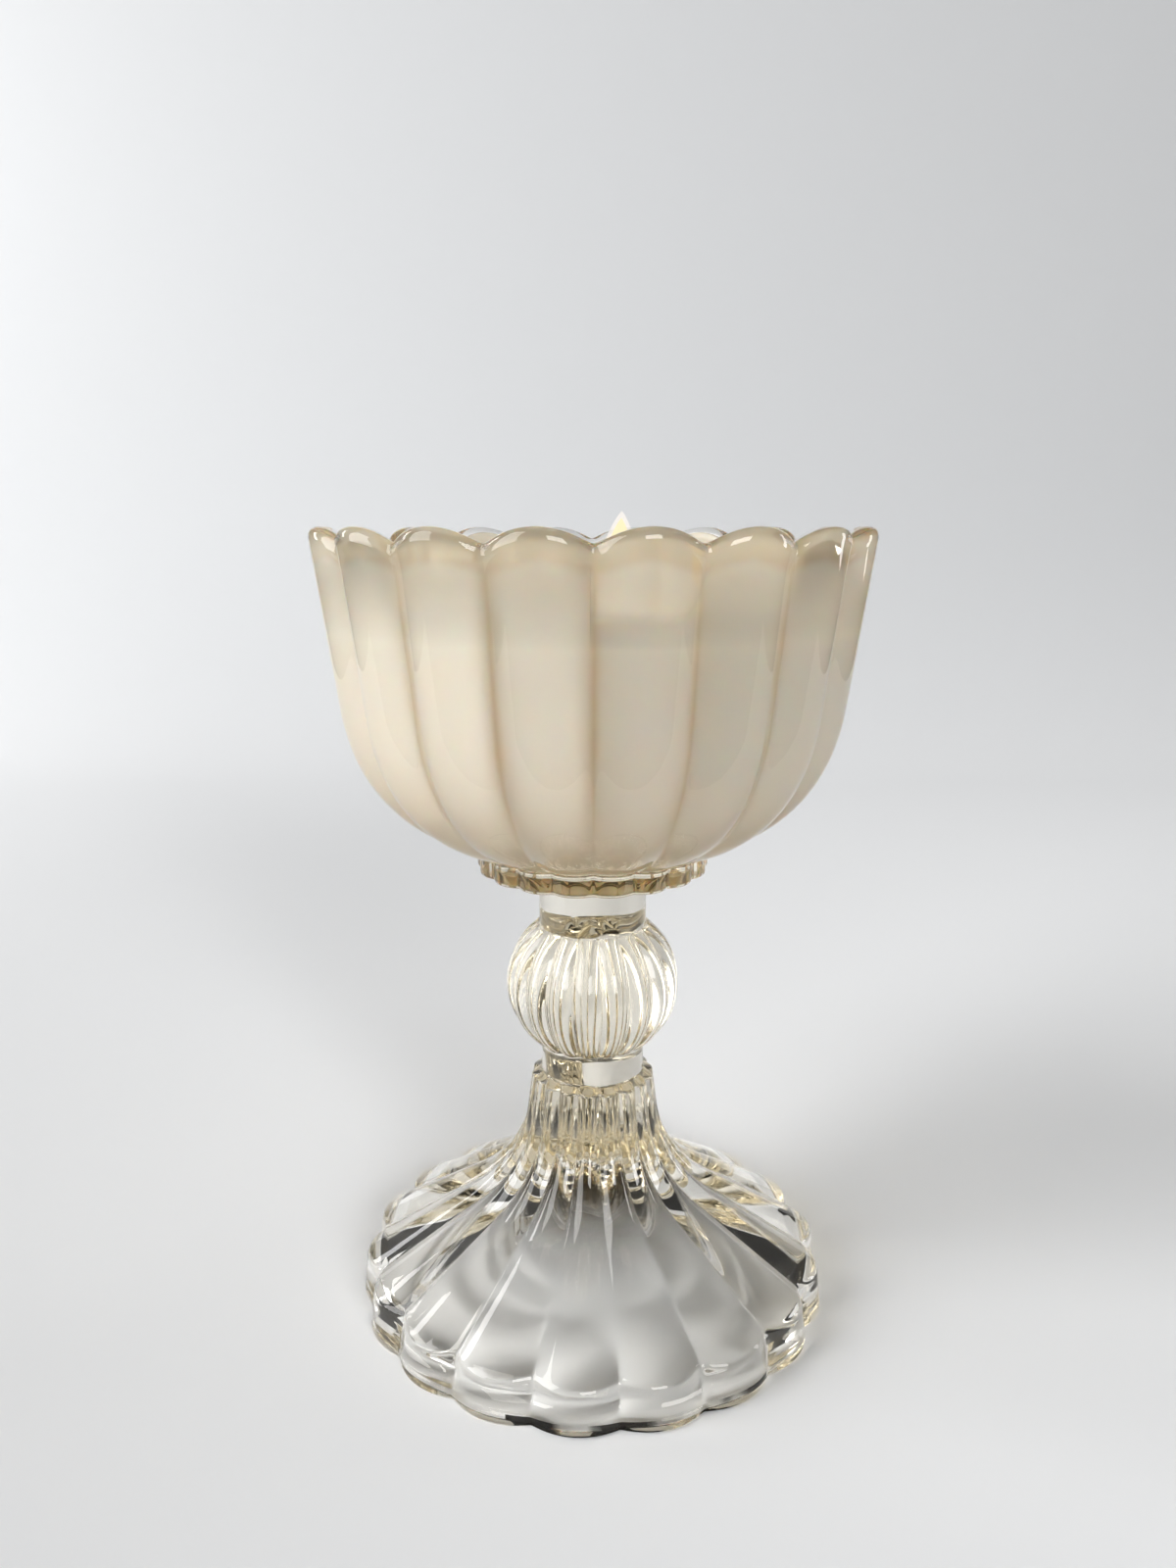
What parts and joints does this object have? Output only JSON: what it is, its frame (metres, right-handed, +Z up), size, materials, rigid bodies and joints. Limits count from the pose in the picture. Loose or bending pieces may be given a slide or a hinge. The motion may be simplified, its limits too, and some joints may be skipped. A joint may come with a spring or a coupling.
{
  "type": "stemmed candle holder",
  "caption": "Pressed-glass stemmed candle holder: a fluted bowl with a scalloped rim on a ribbed-ball pedestal, filled with a poured cream candle.",
  "frame": {"origin": "centre of the foot on the table", "axes": "+Z up along the stem, -Y towards the front of the pictured view, +X to its right"},
  "size_m": [0.1006, 0.099, 0.1497],
  "materials": {
    "pressed_glass": "fire-polished clear pressed glass with a slight straw tint",
    "clear_adhesive": "clear cured adhesive film",
    "cream_wax": "cream poured wax, softly translucent",
    "charred_cotton": "braided cotton, charred at the tip",
    "tinplate": "stamped tinplate",
    "foam_sticker": "white foam sticker"
  },
  "bodies": {
    "root": {"glass_pedestal": "pressed_glass", "bond_film": "clear_adhesive", "glass_bowl": "pressed_glass", "candle_wax": "cream_wax", "wick": "charred_cotton", "wick_sustainer": "tinplate", "wick_sticker": "foam_sticker"}
  },
  "joints": []
}
